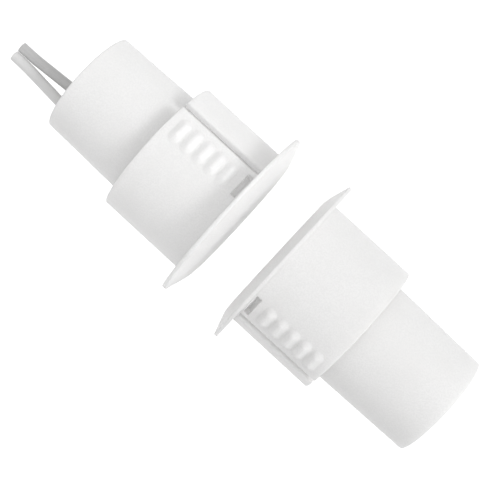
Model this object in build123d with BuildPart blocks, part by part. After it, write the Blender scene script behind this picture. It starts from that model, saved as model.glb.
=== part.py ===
from build123d import *
from math import atan2, hypot, tan
import os

# A recessed magnetic contact: a reed switch half and a magnet half that face each other
# across a door gap. Each half is pushed into a round hole until its flange seats.
# The origin is the centre of the switch half's seat, X is the axis of the pair,
# the switch half runs to -X and the magnet half to +X. Lengths are in millimetres.

# Flange
flange_radius = 12.5
flange_thickness = 1.5
flange_face_radius = 9.3
flange_edge = 0.45
rim_round = 0.35
face_round = 6.0

# Snap sleeve round the barrel
sleeve_radius = 9.525
sleeve_wall = 0.9
sleeve_length = 12.3
sleeve_round = 0.6
groove_floor = 0.5

# Barrel, with a shoulder under the sleeve that stops the tongues when they spring in
shoulder_radius = 8.25
shoulder_setback = 0.8
barrel_root_radius = 7.5
barrel_tip_radius = 7.2
switch_barrel_length = 24.2
magnet_barrel_length = 26.1
barrel_round = 0.6
bore_radius = 6.0
front_wall = 1.7
floor_round = 0.4
mouth_chamfer = 0.25

# Slots and windows that free the barbed tongues of the sleeve
side_count = 2
slot_width = 0.85
slot_floor = 0.15
slot_edge_round = 0.3
cut_clearance = 0.1
window_width = 3.4
window_height = 0.7
window_floor = 0.3
window_angle = -18.5

# Rows of barbs
barb_count = 5
barb_angle = -19.8
barb_length = 3.1
barb_width = 1.6
barb_height = 0.45
barb_crest = 0.36
barb_crest_round = 0.4
barb_lean = 0.08
barb_sink = 0.25
first_barb = 2.85
barb_lead_in = 1.95

# How the halves face each other and how each is turned about the axis
pair_gap = 6.2
switch_slot_angle = 38.3
magnet_slot_angle = 61.8

# Filling of both barrels
fit_clearance = 0.05
cast_clearance = 0.02
potting_depth = 2.4
potting_recess = 0.8
meniscus = 0.25

# Reed switch
glass_radius = 1.0
glass_length = 10.0
glass_cavity_radius = 0.72
glass_seal = 2.0
glass_end_round = 0.65
blade_wire_radius = 0.25
blade_width = 1.1
blade_thickness = 0.2
blade_overlap = 1.0
blade_gap = 0.15

# Reed carrier, joints and the wire that comes back past the capsule. The front joint is
# placed from the capsule, and the sleeves of the rear joints from the potting.
pocket_depth = 3.8
pocket_width = 1.9
pocket_margin = 0.9
joint_length = 1.6
joint_radius = 0.65
joint_wall = 0.15
front_joint_reach = 1.3
rear_joint_reach = 0.15
return_sleeve_wall = 0.18
return_sleeve_tail = 0.5
shrink_length = 2.4
shrink_wall = 0.15

# Leads
lead_offset = -3.1
lead_spacing = 2.4
lead_radius = 0.7
lead_reach = 9.4
lead_tip_spacing = 1.44
lead_tip_run = 2.2
lead_exit_run = 0.3
lead_bend_radius = 24.0
lead_strip = 1.4
strand_radius = 0.1
strand_count = 6
strand_pack = 0.97
core_clearance = 0.03

# Magnet
magnet_radius = 5.9
magnet_length = 12.7
magnet_chamfer = 0.4
spacer_wall = 1.6

# Worked out from the sizes above. The face round ends on the cone, at most nine tenths of the way.
cone_width = flange_radius - flange_face_radius
cone_rise = flange_thickness - flange_edge
cone_room = 0.9 * hypot(cone_width, cone_rise) / tan(atan2(cone_rise, cone_width) / 2)
sleeve_inner_radius = sleeve_radius - sleeve_wall
bore_floor = front_wall - flange_thickness
magnet_seat = 2 * flange_thickness + pair_gap
shoulder_end = sleeve_length - shoulder_setback
cut_inner = shoulder_radius + cut_clearance
cut_outer = sleeve_radius + 2 * barb_height
barb_pitch = (sleeve_length - barb_lead_in - first_barb) / (barb_count - 1)
barb_spread = barb_sink * (barb_width - barb_crest) / barb_height
reed_line = lead_offset + lead_spacing / 2
return_line = lead_offset - lead_spacing / 2
glass_start = bore_floor + pocket_depth + 0.2
glass_end = glass_start + glass_length
glass_middle = glass_start + glass_length / 2
front_joint = glass_start - front_joint_reach
switch_potting_start = switch_barrel_length - potting_recess - potting_depth
rear_joint = switch_potting_start - rear_joint_reach - shrink_length / 2
core_radius = strand_radius * (1 + 2 * strand_pack)
core_bore = core_radius + core_clearance
return_sleeve_radius = blade_wire_radius + return_sleeve_wall


def turned(base, angle):
    """Plane turned about its own normal."""
    direction = base.x_dir.rotate(Axis((0, 0, 0), base.z_dir), angle)
    return Plane(origin=base.origin, x_dir=direction, z_dir=base.z_dir)


def section(base):
    """Plane along the axis of a half: its X is the radius and its Y the depth in the hole."""
    return Plane(origin=base.origin, x_dir=base.x_dir, z_dir=-base.y_dir)


def distance_from_axis(edge):
    """Distance of an edge's middle from the axis of the pair."""
    return round(hypot(edge.center().Y, edge.center().Z), 3)


def parallel_axis(base, offset):
    """Line along the depth of a half, offset from its centre."""
    return Axis(base.origin + base.x_dir * offset, base.z_dir)


# Base planes: the normal runs into the hole, and X of a housing's plane points at its first slot
switch_base = turned(Plane(origin=(0, 0, 0), x_dir=(0, 0, 1), z_dir=(-1, 0, 0)), switch_slot_angle)
magnet_base = turned(Plane(origin=(magnet_seat, 0, 0), x_dir=(0, 0, 1), z_dir=(1, 0, 0)), magnet_slot_angle)
inner_base = Plane(origin=(0, 0, 0), x_dir=(0, 1, 0), z_dir=(-1, 0, 0))
os.makedirs("parts", exist_ok=True)


# Barbs: low ridges with rounded ends across the tongues, each crest a little nearer the flange
def barb_rows(base):
    with BuildPart() as barbs:
        for side in range(side_count):
            row_base = turned(base, barb_angle + side * 360 / side_count)
            for step in range(barb_count):
                foot = row_base.origin + row_base.z_dir * (first_barb + step * barb_pitch)
                surface = foot + row_base.x_dir * sleeve_radius
                tangent = Plane(origin=surface, x_dir=row_base.y_dir, z_dir=row_base.x_dir)
                with BuildSketch(tangent.offset(-barb_sink)):
                    with Locations((0, barb_lean)):
                        SlotOverall(barb_length + barb_spread, barb_width + barb_spread)
                with BuildSketch(tangent.offset(barb_height)):
                    SlotOverall(barb_length - barb_width + barb_crest, barb_crest)
                loft()
                crest = barbs.faces(Select.LAST).sort_by(Axis(foot, row_base.x_dir))[-1]
                fillet(crest.edges(), radius=barb_crest_round)
    return barbs


# Housing: one moulding with flange, slotted snap sleeve and a barrel open at the back
def make_housing(base, barrel_length):
    barbs = barb_rows(base)
    with BuildPart() as housing:
        with BuildSketch(section(base)) as outline:
            with BuildLine():
                Polyline(
                    (0, -flange_thickness),
                    (flange_face_radius, -flange_thickness),
                    (flange_radius, -flange_edge),
                    (flange_radius, 0),
                    (sleeve_radius, 0),
                    (sleeve_radius, sleeve_length),
                    (sleeve_inner_radius, sleeve_length),
                    (sleeve_inner_radius, groove_floor),
                    (shoulder_radius, groove_floor),
                    (shoulder_radius, shoulder_end),
                    (barrel_root_radius, shoulder_end),
                    (barrel_tip_radius, barrel_length),
                    (bore_radius, barrel_length),
                    (bore_radius, bore_floor),
                    (0, bore_floor),
                    close=True,
                )
            make_face()
            corners = outline.vertices()
            face_corner = corners.sort_by_distance((flange_face_radius, -flange_thickness))[0]
            fillet(face_corner, radius=min(face_round, cone_room))
            fillet(corners.sort_by_distance((flange_radius, 0))[0], radius=rim_round)
            fillet(corners.sort_by_distance((sleeve_radius, sleeve_length))[0], radius=sleeve_round)
            fillet(corners.sort_by_distance((barrel_tip_radius, barrel_length))[0], radius=barrel_round)
            fillet(corners.sort_by_distance((bore_radius, bore_floor))[0], radius=floor_round)
            chamfer(corners.sort_by_distance((bore_radius, barrel_length))[0], length=mouth_chamfer)
        revolve(axis=parallel_axis(base, 0))
        add(barbs.part)
        with BuildSketch(base.offset(slot_floor)):
            with PolarLocations((cut_inner + cut_outer) / 2, side_count):
                Rectangle(cut_outer - cut_inner, slot_width)
        extrude(amount=sleeve_length, mode=Mode.SUBTRACT)
        slot_edges = housing.edges(Select.LAST).filter_by(GeomType.LINE).filter_by(Axis.X)
        fillet(slot_edges.group_by(distance_from_axis)[-1], radius=slot_edge_round)
        with BuildSketch(base.offset(window_floor)):
            with PolarLocations((cut_inner + cut_outer) / 2, side_count, start_angle=window_angle):
                Rectangle(cut_outer - cut_inner, window_width)
        extrude(amount=window_height, mode=Mode.SUBTRACT)
    return housing


switch_housing = make_housing(switch_base, switch_barrel_length)
switch_housing.part.label = "switch_housing"
export_step(switch_housing.part, "parts/switch_housing.step")

magnet_housing = make_housing(magnet_base, magnet_barrel_length)
magnet_housing.part.label = "magnet_housing"
export_step(magnet_housing.part, "parts/magnet_housing.step")


# Reed capsule: a glass tube fused at both ends round the wires of the two blades
with BuildPart() as reed_capsule:
    with BuildSketch(section(inner_base)) as glass:
        with BuildLine():
            Polyline(
                (reed_line + blade_wire_radius, glass_start),
                (reed_line + glass_radius, glass_start),
                (reed_line + glass_radius, glass_end),
                (reed_line + blade_wire_radius, glass_end),
                (reed_line + blade_wire_radius, glass_end - glass_seal),
                (reed_line + glass_cavity_radius, glass_end - glass_seal),
                (reed_line + glass_cavity_radius, glass_start + glass_seal),
                (reed_line + blade_wire_radius, glass_start + glass_seal),
                close=True,
            )
        make_face()
        fillet(glass.vertices().group_by(Axis.X)[-1], radius=glass_end_round)
    revolve(axis=parallel_axis(inner_base, reed_line))
reed_capsule.part.label = "reed_capsule"
export_step(reed_capsule.part, "parts/reed_capsule.step")


# Reed blades: a round wire pressed flat inside the glass, where the two free ends overlap
def make_blade(wire_end, seal_end, toward, side):
    tip = glass_middle + toward * blade_overlap / 2
    root = seal_end + toward * glass_seal / 2
    with BuildPart() as blade:
        with BuildSketch(inner_base.offset(wire_end)):
            with Locations((reed_line, 0)):
                Circle(blade_wire_radius)
        extrude(amount=root - wire_end + toward * glass_seal / 2)
        with BuildSketch(inner_base.offset(seal_end + toward * glass_seal)):
            with Locations((reed_line, side * (blade_gap + blade_thickness) / 2)):
                Rectangle(blade_width, blade_thickness)
        extrude(amount=tip - seal_end - toward * glass_seal)
    return blade


reed_blade_front = make_blade(front_joint, glass_start, 1, 1)
reed_blade_front.part.label = "reed_blade_front"
export_step(reed_blade_front.part, "parts/reed_blade_front.step")

reed_blade_rear = make_blade(rear_joint, glass_end, -1, -1)
reed_blade_rear.part.label = "reed_blade_rear"
export_step(reed_blade_rear.part, "parts/reed_blade_rear.step")


# Return wire: from the front joint round a half turn and back past the capsule
bend_start = front_joint - joint_length / 2 - 0.2
with BuildPart() as return_wire:
    with BuildLine(section(inner_base)) as return_route:
        down = Line((reed_line, front_joint), (reed_line, bend_start))
        turn = TangentArc(down @ 1, (return_line, bend_start), tangent=down % 1)
        Line(turn @ 1, (return_line, rear_joint))
    with BuildSketch(Plane(origin=return_route.wires()[0] @ 0, z_dir=return_route.wires()[0] % 0)):
        Circle(blade_wire_radius)
    sweep()
return_wire.part.label = "return_wire"
export_step(return_wire.part, "parts/return_wire.step")


# Insulation of the return wire along the capsule
return_sleeve_start = bore_floor + pocket_depth
return_sleeve_end = glass_end + return_sleeve_tail
with BuildPart() as return_sleeve:
    with BuildSketch(inner_base.offset(return_sleeve_start)):
        with Locations((return_line, 0)):
            Circle(return_sleeve_radius)
            Circle(blade_wire_radius + cast_clearance, mode=Mode.SUBTRACT)
    extrude(amount=return_sleeve_end - return_sleeve_start)
return_sleeve.part.label = "return_sleeve"
export_step(return_sleeve.part, "parts/return_sleeve.step")


# Reed carrier: holds the capsule and the return wire, with a pocket for the front bend
with BuildPart() as reed_carrier:
    with BuildSketch(inner_base.offset(bore_floor)):
        Circle(bore_radius - fit_clearance)
    extrude(amount=glass_end - bore_floor)
    front_edge = reed_carrier.faces().filter_by(Axis.X).sort_by(Axis.X)[-1].edges()
    chamfer(front_edge, length=floor_round)
    with BuildSketch(inner_base.offset(bore_floor)):
        with Locations((lead_offset, 0)):
            SlotOverall(lead_spacing + 2 * (pocket_margin + blade_wire_radius), pocket_width)
    extrude(amount=pocket_depth, mode=Mode.SUBTRACT)
    with BuildSketch(inner_base.offset(bore_floor)):
        with Locations((reed_line, 0)):
            Circle(glass_radius + fit_clearance)
        with Locations((return_line, 0)):
            Circle(return_sleeve_radius + fit_clearance)
    extrude(amount=glass_end - bore_floor, mode=Mode.SUBTRACT)
reed_carrier.part.label = "reed_carrier"
export_step(reed_carrier.part, "parts/reed_carrier.step")


# Solder joints: small barrels of solder round two wire ends that meet inside
def make_joint(line, depth, rear_wire_radius):
    half = joint_length / 2
    neck = max(blade_wire_radius, rear_wire_radius) + joint_wall
    with BuildPart() as joint:
        with BuildSketch(section(inner_base)):
            with BuildLine():
                Polyline(
                    (line + neck, depth - half),
                    (line, depth - half),
                    (line, depth + half),
                    (line + neck, depth + half),
                )
                ThreePointArc(
                    (line + neck, depth - half),
                    (line + joint_radius, depth),
                    (line + neck, depth + half),
                )
            make_face()
        revolve(axis=parallel_axis(inner_base, line))
        with BuildSketch(inner_base.offset(depth)):
            with Locations((line, 0)):
                Circle(blade_wire_radius)
        extrude(amount=-half, mode=Mode.SUBTRACT)
        with BuildSketch(inner_base.offset(depth)):
            with Locations((line, 0)):
                Circle(rear_wire_radius)
        extrude(amount=half, mode=Mode.SUBTRACT)
    return joint


front_solder_joint = make_joint(reed_line, front_joint, blade_wire_radius)
front_solder_joint.part.label = "front_solder_joint"
export_step(front_solder_joint.part, "parts/front_solder_joint.step")

reed_solder_joint = make_joint(reed_line, rear_joint, core_radius)
reed_solder_joint.part.label = "reed_solder_joint"
export_step(reed_solder_joint.part, "parts/reed_solder_joint.step")

return_solder_joint = make_joint(return_line, rear_joint, core_radius)
return_solder_joint.part.label = "return_solder_joint"
export_step(return_solder_joint.part, "parts/return_solder_joint.step")


# Shrink sleeves over the two rear joints
def make_shrink_sleeve(line):
    with BuildPart() as sleeve:
        with BuildSketch(inner_base.offset(rear_joint - shrink_length / 2)):
            with Locations((line, 0)):
                Circle(joint_radius + cast_clearance + shrink_wall)
                Circle(joint_radius + cast_clearance, mode=Mode.SUBTRACT)
        extrude(amount=shrink_length)
    return sleeve


reed_shrink_sleeve = make_shrink_sleeve(reed_line)
reed_shrink_sleeve.part.label = "reed_shrink_sleeve"
export_step(reed_shrink_sleeve.part, "parts/reed_shrink_sleeve.step")

return_shrink_sleeve = make_shrink_sleeve(return_line)
return_shrink_sleeve.part.label = "return_shrink_sleeve"
export_step(return_shrink_sleeve.part, "parts/return_shrink_sleeve.step")


# Leads: stranded cores in round insulation, straight out of the potting and then towards
# each other until they touch near their square-cut ends
def lead_route(line, start):
    tip_line = lead_offset + (line - lead_offset) * lead_tip_spacing / lead_spacing
    tip = switch_barrel_length + lead_reach
    with BuildLine(section(inner_base)) as route:
        FilletPolyline(
            (line, start),
            (line, switch_barrel_length + lead_exit_run),
            (tip_line, tip - lead_tip_run),
            (tip_line, tip),
            radius=lead_bend_radius,
        )
    return route.wires()[0]


def make_core(line):
    route = lead_route(line, rear_joint)
    with BuildPart() as core:
        with BuildSketch(Plane(origin=route @ 0, x_dir=inner_base.x_dir, z_dir=route % 0)):
            Circle(strand_radius)
            with PolarLocations(2 * strand_radius * strand_pack, strand_count):
                Circle(strand_radius)
        sweep(path=route)
    return core


def make_insulation(line):
    route = lead_route(line, rear_joint + lead_strip)
    with BuildPart() as insulation:
        with BuildSketch(Plane(origin=route @ 0, x_dir=inner_base.x_dir, z_dir=route % 0)):
            Circle(lead_radius)
            Circle(core_bore, mode=Mode.SUBTRACT)
        sweep(path=route)
    return insulation


reed_lead_core = make_core(reed_line)
reed_lead_core.part.label = "reed_lead_core"
export_step(reed_lead_core.part, "parts/reed_lead_core.step")

return_lead_core = make_core(return_line)
return_lead_core.part.label = "return_lead_core"
export_step(return_lead_core.part, "parts/return_lead_core.step")

reed_lead_insulation = make_insulation(reed_line)
reed_lead_insulation.part.label = "reed_lead_insulation"
export_step(reed_lead_insulation.part, "parts/reed_lead_insulation.step")

return_lead_insulation = make_insulation(return_line)
return_lead_insulation.part.label = "return_lead_insulation"
export_step(return_lead_insulation.part, "parts/return_lead_insulation.step")


# Potting: a cast plug just inside a barrel's mouth, its open face hollowed by surface tension
def make_potting(base, barrel_length, plug_radius):
    top = barrel_length - potting_recess
    with BuildPart() as potting:
        with BuildSketch(section(base)):
            with BuildLine():
                Polyline(
                    (0, top - meniscus),
                    (0, top - potting_depth),
                    (plug_radius, top - potting_depth),
                    (plug_radius, top),
                )
                TangentArc((0, top - meniscus), (plug_radius, top), tangent=(1, 0))
            make_face()
        revolve(axis=parallel_axis(base, 0))
    return potting


plug_radius = bore_radius - cast_clearance
with BuildPart() as switch_potting:
    add(make_potting(inner_base, switch_barrel_length, plug_radius).part)
    with BuildSketch(inner_base.offset(glass_end)):
        with Locations((reed_line, 0), (return_line, 0)):
            Circle(lead_radius + cast_clearance)
    extrude(amount=switch_barrel_length - glass_end, mode=Mode.SUBTRACT)
switch_potting.part.label = "switch_potting"
export_step(switch_potting.part, "parts/switch_potting.step")

magnet_potting = make_potting(magnet_base, magnet_barrel_length, plug_radius)
magnet_potting.part.label = "magnet_potting"
export_step(magnet_potting.part, "parts/magnet_potting.step")


# Magnet: a round bar against the front wall
with BuildPart() as magnet:
    with BuildSketch(magnet_base.offset(bore_floor)):
        Circle(magnet_radius)
    extrude(amount=magnet_length)
    chamfer(magnet.edges().filter_by(GeomType.CIRCLE), length=magnet_chamfer)
magnet.part.label = "magnet"
export_step(magnet.part, "parts/magnet.step")


# Spacer tube between the magnet and the potting
spacer_start = bore_floor + magnet_length
spacer_end = magnet_barrel_length - potting_recess - potting_depth
with BuildPart() as magnet_spacer:
    with BuildSketch(magnet_base.offset(spacer_start)):
        Circle(bore_radius - fit_clearance)
        Circle(bore_radius - fit_clearance - spacer_wall, mode=Mode.SUBTRACT)
    extrude(amount=spacer_end - spacer_start)
magnet_spacer.part.label = "magnet_spacer"
export_step(magnet_spacer.part, "parts/magnet_spacer.step")
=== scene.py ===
import bpy
import math
from mathutils import Matrix, Vector

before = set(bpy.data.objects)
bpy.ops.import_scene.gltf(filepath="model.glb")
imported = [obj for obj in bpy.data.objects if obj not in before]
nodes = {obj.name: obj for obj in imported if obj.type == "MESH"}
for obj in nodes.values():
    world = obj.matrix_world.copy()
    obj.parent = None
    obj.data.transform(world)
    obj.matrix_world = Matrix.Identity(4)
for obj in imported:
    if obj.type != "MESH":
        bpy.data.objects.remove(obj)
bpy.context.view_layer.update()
scene = bpy.context.scene
scene.view_settings.view_transform = "Standard"
print("frame loaded,", len(nodes), "pieces")

mm = 0.001


# a node's output that takes part in plain sums
class Field:
    def __init__(self, graph, socket):
        self.graph = graph
        self.socket = socket

    def output(self, index):
        return Field(self.graph, self.socket.node.outputs[index])

    def math(self, operation, *values):
        return self.graph.node("ShaderNodeMath", {"operation": operation}, values)

    def __add__(self, other):
        return self.math("ADD", self, other)

    __radd__ = __add__

    def __mul__(self, other):
        return self.math("MULTIPLY", self, other)

    __rmul__ = __mul__

    def __sub__(self, other):
        return self.math("SUBTRACT", self, other)

    def __rsub__(self, other):
        return self.math("SUBTRACT", other, self)

    def __truediv__(self, other):
        return self.math("DIVIDE", self, other)

    def __pow__(self, other):
        return self.math("POWER", self, other)

    def __gt__(self, other):
        return self.math("GREATER_THAN", self, other)

    def __lt__(self, other):
        return self.math("LESS_THAN", self, other)

    def __abs__(self):
        return self.math("ABSOLUTE", self)

    def wave(self):
        return self.math("SINE", self * math.tau)

    # 0 at low and 1 at high, smooth between
    def between(self, low, high):
        values = {"Value": self, "From Min": low, "From Max": high}
        return self.graph.node("ShaderNodeMapRange", {"interpolation_type": "SMOOTHSTEP"}, values)

    # 1 on a stripe round a centre, fading at both sides
    def stripe(self, centre, half):
        return 1 - abs(self - centre).between(half * 0.4, half)


# a node tree, with one method that adds nodes to it
class Graph:
    def __init__(self, tree):
        self.tree = tree

    def node(self, kind, settings=None, values=(), out=0):
        made = self.tree.nodes.new(kind)
        for key, value in (settings or {}).items():
            setattr(made, key, value)
        pairs = values.items() if isinstance(values, dict) else enumerate(values)
        for key, value in pairs:
            self.put(made.inputs[key], value)
        return Field(self, made.outputs[out])

    def put(self, socket, value):
        if isinstance(value, Field):
            self.tree.links.new(value.socket, socket)
        elif value is not None:
            socket.default_value = value

    def place(self):
        return self.node("ShaderNodeTexCoord", out=3)

    def split(self, vector):
        whole = self.node("ShaderNodeSeparateXYZ", {}, [vector])
        return whole, whole.output(1), whole.output(2)

    # distance from the pair's axis
    def radius(self, vector):
        x, y, z = self.split(vector)
        return (y * y + z * z) ** 0.5

    def stretched(self, vector, scale):
        return self.node("ShaderNodeMapping", {}, {"Vector": vector, "Scale": scale})

    def noise(self, vector, scale, detail=3.0, rough=0.5, twist=0.0):
        values = {"Vector": vector, "Scale": scale, "Detail": detail, "Roughness": rough}
        return self.node("ShaderNodeTexNoise", {}, {**values, "Distortion": twist})

    # noise drawn out along the axis, or squeezed along it
    def drawn(self, vector, scale, detail=3.0, rough=0.5, twist=0.0):
        return self.noise(self.stretched(vector, scale), 1, detail, rough, twist)

    def cells(self, vector, scale):
        return self.node("ShaderNodeTexVoronoi", {}, {"Vector": vector, "Scale": scale})

    def blend(self, share, first, second):
        values = {0: share, 6: first, 7: second}
        return self.node("ShaderNodeMix", {"data_type": "RGBA"}, values, out=2)

    def softEdges(self, radius):
        return self.node("ShaderNodeBevel", {"samples": 6}, {"Radius": radius})

    # 1 where the background is seen directly, mirrored or through glass
    def seenOutright(self):
        path = self.node("ShaderNodeLightPath")
        mirrored = path.math("MAXIMUM", path.output(3), path.output(6))
        return path.math("MAXIMUM", path, mirrored)

    # bump of a strength and a distance, over another normal if one is given
    def relief(self, height, amount, under=None):
        values = {"Height": height, "Strength": amount[0], "Distance": amount[1], "Normal": under}
        return self.node("ShaderNodeBump", {}, values)


class Finish(Graph):
    def __init__(self, name):
        self.material = bpy.data.materials.new(name)
        self.material.use_nodes = True
        super().__init__(self.material.node_tree)
        self.shader = self.tree.nodes["Principled BSDF"]

    def set(self, **values):
        for key, value in values.items():
            self.put(self.shader.inputs[key.replace("_", " ")], value)


def grey(level, warm=0.0):
    return (level + warm, level, level - warm, 1)


def dress(finish, *names):
    for name in names:
        slots = nodes[name].data.materials
        slots.clear()
        slots.append(finish.material)


# camera above the pair, a little in front of the switch half's face, as in the photograph
cameraSetup = {
    "from": (8.7 * mm, -1.715 * mm, 144.1 * mm),
    "right": (0.735, 0.6777, -0.0193),
    "back": (0.0262, 0, 0.99966),
    "lens": 82.8,
    "sensor": 36,
    "clip": (1 * mm, 10),
}


def placeCamera(setup):
    back = Vector(setup["back"]).normalized()
    right = Vector(setup["right"])
    right = (right - back * right.dot(back)).normalized()
    up = back.cross(right)
    data = bpy.data.cameras.new("camera")
    data.lens = setup["lens"]
    data.sensor_width = setup["sensor"]
    data.clip_start, data.clip_end = setup["clip"]
    camera = bpy.data.objects.new("camera", data)
    scene.collection.objects.link(camera)
    turn = Matrix((right, up, back)).transposed().to_4x4()
    camera.matrix_world = Matrix.Translation(setup["from"]) @ turn
    scene.camera = camera


placeCamera(cameraSetup)
print("camera placed")


# housings: near-white moulded plastic, satin, with a faint mould line through the slots
housingLook = {
    "shade": 0.97,
    "pitted": 0.93,
    "warm": 0.003,
    "handled": grey(0.72, 0.012),
    "speck": grey(0.55, 0.02),
    "grainShare": 0.8,
    "speckShare": 0.3,
    "wearShare": 0.35,
    "cloudScale": 160,
    "flowScale": (60, 420, 420),
    "grainScale": 5200,
    "speckScale": 900,
    "flange": 12.5 * mm,
    "flangeWear": 0.5 * mm,
    "sleeveEnd": 12.3 * mm,
    "sleeveWear": 0.6 * mm,
    "seam": 0.06 * mm,
    "face": -1.45 * mm,
    "gate": 1.1 * mm,
    "gateLine": 0.2 * mm,
    "gloss": 0.36,
    "index": 1.5,
    "glow": 0.7,
    "glowDepth": 1.1 * mm,
    "cutTop": 9.4 * mm,
    "cutFloor": 8.6 * mm,
    "shoulder": 8.15 * mm,
    "tongueEnd": 12.2 * mm,
    # strength of the painted glow in the groove under the sleeve
    "paintedGrooveGlow": 0.08,
    "edge": 0.22 * mm,
    "grainRelief": (0.5, 0.04 * mm),
    "flowRelief": (0.1, 0.06 * mm),
    "seamRelief": (0.25, 0.04 * mm),
}

# the magnet housing's lower tone is painted shade: it is the same white plastic, set darker to
# stand in for less light on that half
switchHousing = {"tone": 0.915, "seat": 0, "towards": -1, "slots": math.radians(38.3)}
magnetHousing = {"tone": 0.845, "seat": 9.2 * mm, "towards": 1, "slots": math.radians(-61.8)}


def housingFinish(name, look, half):
    finish = Finish(name)
    place = finish.place()
    x, y, z = finish.split(place)
    radius = (y * y + z * z) ** 0.5
    depth = (x - half["seat"]) * half["towards"]
    across = y * math.cos(half["slots"]) - z * math.sin(half["slots"])
    clouds = finish.noise(place, look["cloudScale"], 4, 0.6, 0.4)
    flow = finish.drawn(place, look["flowScale"], 3, 0.55, 0.3)
    grain = finish.noise(place, look["grainScale"], 2, 0.7)
    specks = finish.cells(place, look["speckScale"]).between(0.09, 0.03) * flow.between(0.55, 0.8)
    handled = radius.stripe(look["flange"], look["flangeWear"]) * clouds.between(0.42, 0.68)
    dulled = depth.stripe(look["sleeveEnd"], look["sleeveWear"]) * clouds.between(0.45, 0.7)
    mouldLine = across.stripe(0, look["seam"]) * (depth > 0)
    gate = (depth < look["face"]) * radius.stripe(look["gate"], look["gateLine"])
    tone, warm = half["tone"], look["warm"]
    deep, pitted = grey(tone * look["shade"], warm * 2), grey(tone * look["pitted"], warm)
    colour = finish.blend(clouds.between(0.35, 0.7), grey(tone, warm), deep)
    colour = finish.blend(grain.between(0.35, 0.65) * look["grainShare"], colour, pitted)
    colour = finish.blend(specks * look["speckShare"], colour, look["speck"])
    colour = finish.blend((handled + dulled) * look["wearShare"], colour, look["handled"])
    finish.set(Base_Color=colour)
    finish.set(Roughness=look["gloss"] + flow * 0.12 + handled * 0.12 - dulled * 0.05)
    finish.set(IOR=look["index"], Subsurface_Radius=(1, 1, 1))
    finish.set(Subsurface_Weight=look["glow"], Subsurface_Scale=look["glowDepth"])
    # painted light: the groove under the sleeve glows faintly by emission, standing in for light
    # that comes through the thin sleeve
    under = radius.between(look["cutTop"], look["cutFloor"]) * (radius > look["shoulder"])
    under = under * (depth > 0) * (depth < look["tongueEnd"])
    finish.set(Emission_Color=finish.blend(under, grey(0), grey(look["paintedGrooveGlow"])))
    finish.set(Emission_Strength=1)
    fine = finish.relief(grain, look["grainRelief"], finish.softEdges(look["edge"]))
    waves = finish.relief(flow, look["flowRelief"], fine)
    finish.set(Normal=finish.relief(mouldLine - gate, look["seamRelief"], waves))
    return finish


dress(housingFinish("switchPlastic", housingLook, switchHousing), "switch_housing")
dress(housingFinish("magnetPlastic", housingLook, magnetHousing), "magnet_housing")
print("housings dressed")


# leads: soft extruded sleeve, one a darker grey than the other, over tinned strands
leadLook = {
    "dark": grey(0.53, 0.002),
    "pale": grey(0.74, 0.002),
    "chalk": grey(0.84, 0.004),
    "dust": grey(0.25, 0.01),
    "lineShare": 0.14,
    "scuffShare": 0.18,
    "dustShare": 0.5,
    "drawScale": (90, 2600, 2600),
    "scuffScale": (700, 420, 420),
    "dustScale": 2200,
    "gloss": 0.4,
    "index": 1.53,
    "edge": 0.08 * mm,
    "lineRelief": (0.12, 0.03 * mm),
    "scuffRelief": (0.15, 0.03 * mm),
}


def leadFinish(name, colour, look):
    finish = Finish(name)
    place = finish.place()
    lines = finish.drawn(place, look["drawScale"], 2, 0.5)
    scuffs = finish.drawn(place, look["scuffScale"], 4, 0.65, 0.8).between(0.52, 0.76)
    dust = finish.cells(place, look["dustScale"]).between(0.12, 0.04) * scuffs
    tone = finish.blend(lines.between(0.3, 0.7) * look["lineShare"], colour, look["chalk"])
    tone = finish.blend(scuffs * look["scuffShare"], tone, look["chalk"])
    finish.set(Base_Color=finish.blend(dust * look["dustShare"], tone, look["dust"]))
    finish.set(Roughness=look["gloss"] + scuffs * 0.2 + lines * 0.08)
    finish.set(IOR=look["index"])
    under = finish.relief(lines, look["lineRelief"], finish.softEdges(look["edge"]))
    finish.set(Normal=finish.relief(scuffs, look["scuffRelief"], under))
    return finish


dress(leadFinish("leadDark", leadLook["dark"], leadLook), "reed_lead_insulation")
dress(leadFinish("leadPale", leadLook["pale"], leadLook), "return_lead_insulation")
print("leads dressed")


# wires: tinned copper strands and the thicker return wire, drawn along their length
wireLook = {
    "bright": (0.74, 0.74, 0.73, 1),
    "dull": (0.5, 0.5, 0.49, 1),
    "copper": (0.72, 0.43, 0.3, 1),
    "drawScale": (160, 5200, 5200),
    "spotScale": 2400,
    "strandWear": 0.6,
    "wireWear": 0.25,
    "gloss": 0.24,
    "relief": (0.2, 0.01 * mm),
}


def wireFinish(name, look, wear):
    finish = Finish(name)
    place = finish.place()
    lines = finish.drawn(place, look["drawScale"], 3, 0.55)
    spots = finish.noise(place, look["spotScale"], 3, 0.6, 0.5)
    bare = spots.between(0.68, 0.76) * wear
    tone = finish.blend(spots.between(0.35, 0.65), look["bright"], look["dull"])
    finish.set(Base_Color=finish.blend(bare, tone, look["copper"]))
    finish.set(Metallic=1 - bare * 0.1)
    finish.set(Roughness=look["gloss"] + lines * 0.16 + spots * 0.14)
    finish.set(Normal=finish.relief(lines, look["relief"]))
    return finish


strands = wireFinish("tinnedStrands", wireLook, wireLook["strandWear"])
dress(strands, "reed_lead_core", "return_lead_core")
dress(wireFinish("tinnedWire", wireLook, wireLook["wireWear"]), "return_wire")


# solder: smooth and rounded, with a dull crust in patches and a thin amber trace of flux
solderLook = {
    "bright": (0.7, 0.7, 0.71, 1),
    "crust": (0.44, 0.44, 0.45, 1),
    "flux": (0.42, 0.27, 0.1, 1),
    "fluxShare": 0.7,
    "crustScale": 1500,
    "fluxScale": 800,
    "gloss": 0.18,
    "relief": (0.25, 0.04 * mm),
}


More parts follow.
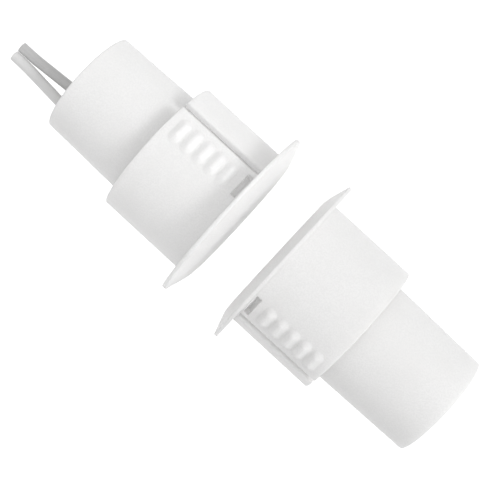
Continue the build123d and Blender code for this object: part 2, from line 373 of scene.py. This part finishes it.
def solderFinish(look):
    finish = Finish("solder")
    place = finish.place()
    crust = finish.noise(place, look["crustScale"], 4, 0.6, 0.8)
    flux = finish.noise(place, look["fluxScale"], 2, 0.5, 1.2).between(0.6, 0.68)
    tone = finish.blend(crust.between(0.42, 0.62), look["bright"], look["crust"])
    finish.set(Base_Color=finish.blend(flux * look["fluxShare"], tone, look["flux"]))
    finish.set(Metallic=1 - flux * 0.8)
    finish.set(Roughness=look["gloss"] + crust.between(0.4, 0.65) * 0.3 - flux * 0.08)
    finish.set(Coat_Weight=flux * 0.6)
    finish.set(Normal=finish.relief(crust, look["relief"]))
    return finish


dress(solderFinish(solderLook), "front_solder_joint", "reed_solder_joint", "return_solder_joint")
print("wires and joints dressed")


# reed switch: clear tube with a faint green cast, and plated blades rolled along their length
glassLook = {
    "clear": (0.9, 0.97, 0.91, 1),
    "seal": (0.72, 0.84, 0.74, 1),
    "sealEnds": (-4.2 * mm, -14.2 * mm),
    "sealReach": 2 * mm,
    "streakScale": (90, 900, 900),
    "gloss": 0.02,
    "index": 1.5,
    "clearness": 0.94,
    "relief": (0.1, 0.02 * mm),
}

bladeLook = {
    "plated": (0.72, 0.7, 0.66, 1),
    "rolled": (0.55, 0.54, 0.51, 1),
    "contact": (0.78, 0.76, 0.73, 1),
    "contactSpan": (-10.0 * mm, -8.4 * mm),
    "contactFade": 0.3 * mm,
    "rollScale": (220, 3800, 3800),
    "stainScale": 900,
    "stainShare": 0.3,
    "gloss": 0.28,
    "relief": (0.2, 0.01 * mm),
}


def glassFinish(look):
    finish = Finish("reedGlass")
    place = finish.place()
    along = finish.split(place)[0]
    front, rear = look["sealEnds"]
    fused = along.stripe(front, look["sealReach"]) + along.stripe(rear, look["sealReach"])
    streaks = finish.drawn(place, look["streakScale"], 3, 0.5, 0.6)
    colour = finish.blend(fused * streaks.between(0.2, 0.7), look["clear"], look["seal"])
    finish.set(Base_Color=colour)
    finish.set(Roughness=look["gloss"] + fused * 0.05 + streaks.between(0.6, 0.8) * 0.05)
    finish.set(Transmission_Weight=look["clearness"], IOR=look["index"])
    finish.set(Normal=finish.relief(streaks, look["relief"]))
    return finish


def bladeFinish(look):
    finish = Finish("platedBlade")
    place = finish.place()
    along = finish.split(place)[0]
    rear, front = look["contactSpan"]
    fade = look["contactFade"]
    contact = along.between(rear - fade, rear) * along.between(front + fade, front)
    rolled = finish.drawn(place, look["rollScale"], 4, 0.6)
    stains = finish.noise(place, look["stainScale"], 3, 0.6, 0.6).between(0.58, 0.74)
    tone = finish.blend(rolled.between(0.35, 0.68), look["plated"], look["rolled"])
    tone = finish.blend(stains * look["stainShare"], tone, look["rolled"])
    finish.set(Base_Color=finish.blend(contact, tone, look["contact"]))
    finish.set(Metallic=1 - stains * 0.12)
    finish.set(Roughness=look["gloss"] + rolled * 0.18 + stains * 0.12 - contact * 0.08)
    finish.set(Normal=finish.relief(rolled, look["relief"]))
    return finish


dress(glassFinish(glassLook), "reed_capsule")
dress(bladeFinish(bladeLook), "reed_blade_front", "reed_blade_rear")
print("reed switch dressed")


# carrier and spacer: natural moulded plastic, warmer and more mottled than the housings
carrierLook = {
    "colour": (0.7, 0.68, 0.62, 1),
    "deep": (0.6, 0.57, 0.5, 1),
    "rub": (0.78, 0.77, 0.73, 1),
    "rubShare": 0.6,
    "rubFrom": 5.85 * mm,
    "rubTo": 5.93 * mm,
    "mottleScale": 300,
    "grainScale": 4200,
    "dragScale": (70, 1500, 1500),
    "gloss": 0.46,
    "index": 1.5,
    "edge": 0.1 * mm,
    "relief": (0.2, 0.02 * mm),
}


def carrierFinish(look):
    finish = Finish("naturalPlastic")
    place = finish.place()
    mottle = finish.noise(place, look["mottleScale"], 4, 0.6, 0.5)
    grain = finish.noise(place, look["grainScale"], 2, 0.6)
    drag = finish.drawn(place, look["dragScale"], 3, 0.6)
    outer = finish.radius(place).between(look["rubFrom"], look["rubTo"])
    rubbed = outer * drag.between(0.5, 0.7)
    tone = finish.blend(mottle.between(0.35, 0.7), look["colour"], look["deep"])
    finish.set(Base_Color=finish.blend(rubbed * look["rubShare"], tone, look["rub"]))
    finish.set(Roughness=look["gloss"] + mottle * 0.12 - rubbed * 0.12)
    finish.set(IOR=look["index"])
    soft = finish.softEdges(look["edge"])
    finish.set(Normal=finish.relief(grain + drag * 0.5, look["relief"], soft))
    return finish


dress(carrierFinish(carrierLook), "reed_carrier", "magnet_spacer")


# sleeves over the wires: thin natural tube on the return wire, black shrunk tube on the joints
tubeLook = {
    "wanderScale": 700,
    "wanderShare": 0.5,
    "scuffScale": (500, 1400, 1400),
    "scuffShare": 0.4,
    "index": 1.5,
    "edge": 0.05 * mm,
    "relief": (0.2, 0.02 * mm),
}

naturalTube = {
    "colour": (0.72, 0.68, 0.56, 1),
    "worn": (0.62, 0.54, 0.38, 1),
    "ringPitch": 0.8 * mm,
    "gloss": 0.38,
}

shrunkTube = {
    "colour": (0.035, 0.035, 0.037, 1),
    "worn": (0.09, 0.09, 0.092, 1),
    "ringPitch": 0.5 * mm,
    "gloss": 0.42,
}


def tubeFinish(name, look, tube):
    finish = Finish(name)
    place = finish.place()
    along = finish.split(place)[0]
    wander = finish.noise(place, look["wanderScale"], 3, 0.6, 0.4)
    wrinkle = (along / tube["ringPitch"] + wander * 1.4).wave()
    scuffs = finish.drawn(place, look["scuffScale"], 4, 0.65).between(0.52, 0.72)
    worn = wander.between(0.4, 0.7) * look["wanderShare"] + scuffs * look["scuffShare"]
    finish.set(Base_Color=finish.blend(worn, tube["colour"], tube["worn"]))
    finish.set(Roughness=tube["gloss"] + scuffs * 0.2 + wander * 0.08)
    finish.set(IOR=look["index"])
    soft = finish.softEdges(look["edge"])
    finish.set(Normal=finish.relief(wrinkle * 0.5 + scuffs, look["relief"], soft))
    return finish


dress(tubeFinish("naturalTube", tubeLook, naturalTube), "return_sleeve")
blackTube = tubeFinish("shrunkTube", tubeLook, shrunkTube)
dress(blackTube, "reed_shrink_sleeve", "return_shrink_sleeve")
print("carrier, spacer and tubes dressed")


# potting: cast resin with small bubbles, a glossy skin and dust along its rim
pottingLook = {
    "colour": (0.6, 0.59, 0.55, 1),
    "pool": (0.5, 0.49, 0.45, 1),
    "rim": (0.7, 0.69, 0.66, 1),
    "dust": (0.42, 0.4, 0.36, 1),
    "rimShare": 0.6,
    "dustShare": 0.5,
    "rimFrom": 5.08 * mm,
    "rimTo": 5.98 * mm,
    "poolScale": 260,
    "skinScale": 900,
    "dustScale": 3200,
    "bubbleScale": 1100,
    "gloss": 0.2,
    "index": 1.55,
    "coat": 0.5,
    "coatGloss": 0.12,
    "relief": (0.25, 0.06 * mm),
}


def pottingFinish(look):
    finish = Finish("castResin")
    place = finish.place()
    pools = finish.noise(place, look["poolScale"], 3, 0.55, 0.8)
    skin = finish.noise(place, look["skinScale"], 2, 0.5, 0.3)
    bubbles = finish.cells(place, look["bubbleScale"]).between(0.2, 0.1)
    bubbles = bubbles * pools.between(0.5, 0.62)
    rim = finish.radius(place).between(look["rimFrom"], look["rimTo"])
    dust = finish.noise(place, look["dustScale"], 4, 0.7).between(0.55, 0.7) * rim
    tone = finish.blend(pools.between(0.35, 0.65), look["colour"], look["pool"])
    tone = finish.blend(rim * look["rimShare"], tone, look["rim"])
    finish.set(Base_Color=finish.blend(dust * look["dustShare"], tone, look["dust"]))
    finish.set(Roughness=look["gloss"] + skin * 0.12 + dust * 0.35)
    finish.set(Coat_Weight=look["coat"] - dust * 0.4)
    finish.set(IOR=look["index"], Coat_Roughness=look["coatGloss"])
    finish.set(Normal=finish.relief(skin - bubbles * 1.5, look["relief"]))
    return finish


dress(pottingFinish(pottingLook), "switch_potting", "magnet_potting")


# magnet: dark cast alloy, ground on its ends and its side
magnetLook = {
    "ground": (0.42, 0.41, 0.4, 1),
    "cast": (0.2, 0.195, 0.19, 1),
    "rust": (0.2, 0.11, 0.06, 1),
    "rustShare": 0.5,
    "grindScale": (3600, 260, 260),
    "pitScale": 1300,
    "patchScale": 240,
    "rustScale": 420,
    "gloss": 0.36,
    "metal": 0.95,
    "edge": 0.15 * mm,
    "relief": (0.3, 0.04 * mm),
}


def magnetFinish(look):
    finish = Finish("castAlloy")
    place = finish.place()
    grind = finish.drawn(place, look["grindScale"], 4, 0.6)
    patches = finish.noise(place, look["patchScale"], 3, 0.6).between(0.5, 0.6)
    pits = finish.cells(place, look["pitScale"]).between(0.16, 0.06) * patches
    rust = finish.noise(place, look["rustScale"], 4, 0.65, 0.6).between(0.66, 0.76)
    tone = finish.blend(grind.between(0.35, 0.68), look["ground"], look["cast"])
    tone = finish.blend(pits, tone, look["cast"])
    finish.set(Base_Color=finish.blend(rust * look["rustShare"], tone, look["rust"]))
    finish.set(Metallic=look["metal"] - rust * 0.6 - pits * 0.3)
    finish.set(Roughness=look["gloss"] + grind * 0.16 + pits * 0.2 + rust * 0.25)
    soft = finish.softEdges(look["edge"])
    finish.set(Normal=finish.relief(grind * 0.4 - pits, look["relief"], soft))
    return finish


dress(magnetFinish(magnetLook), "magnet")
print("potting and magnet dressed")


# floor and light: a grey floor that the camera sees as white, a pale sky that is a little
# brighter on the magnet's side, and one soft lamp from there
stageSetup = {
    "floorDrop": 80 * mm,
    "floorSize": 4.0,
    "floor": grey(0.62),
    "floorGloss": 0.9,
    "lift": 0.65,
    "world": 0.79,
    "tilt": 0.1,
    "bright": (0.9, 0.3, 0.3),
}

keySetup = {
    "from": (0.4, 0.22, 0.39),
    "size": 0.2,
    "power": 1.17,
}


def makeFloor(setup):
    half = setup["floorSize"] / 2
    corners = [(-half, -half, 0), (half, -half, 0), (half, half, 0), (-half, half, 0)]
    mesh = bpy.data.meshes.new("floor")
    mesh.from_pydata(corners, [], [(0, 1, 2, 3)])
    floor = bpy.data.objects.new("floor", mesh)
    floor.location = (0, 0, -setup["floorDrop"])
    scene.collection.objects.link(floor)
    finish = Finish("floor")
    finish.set(Base_Color=setup["floor"], Roughness=setup["floorGloss"])
    finish.set(Emission_Color=finish.blend(finish.seenOutright(), grey(0), grey(1)))
    finish.set(Emission_Strength=setup["lift"])
    mesh.materials.append(finish.material)


def makeWorld(setup):
    world = bpy.data.worlds.new("world")
    world.use_nodes = True
    scene.world = world
    sky = Graph(world.node_tree)
    colour, strength = world.node_tree.nodes["Background"].inputs[:2]
    x, y, z = sky.split(sky.node("ShaderNodeTexCoord"))
    towards = Vector(setup["bright"]).normalized()
    facing = x * towards.x + y * towards.y + z * towards.z
    level = facing * setup["tilt"] + setup["world"]
    seen = sky.seenOutright()
    sky.put(colour, grey(1))
    sky.put(strength, seen + (1 - seen) * level)


def addLamp(name, setup):
    data = bpy.data.lights.new(name, "AREA")
    data.size = setup["size"]
    data.energy = setup["power"]
    lamp = bpy.data.objects.new(name, data)
    lamp.location = setup["from"]
    lamp.rotation_mode = "QUATERNION"
    lamp.rotation_quaternion = Vector(setup["from"]).to_track_quat("Z", "Y")
    scene.collection.objects.link(lamp)


makeFloor(stageSetup)
makeWorld(stageSetup)
addLamp("key", keySetup)
print("floor and light set")
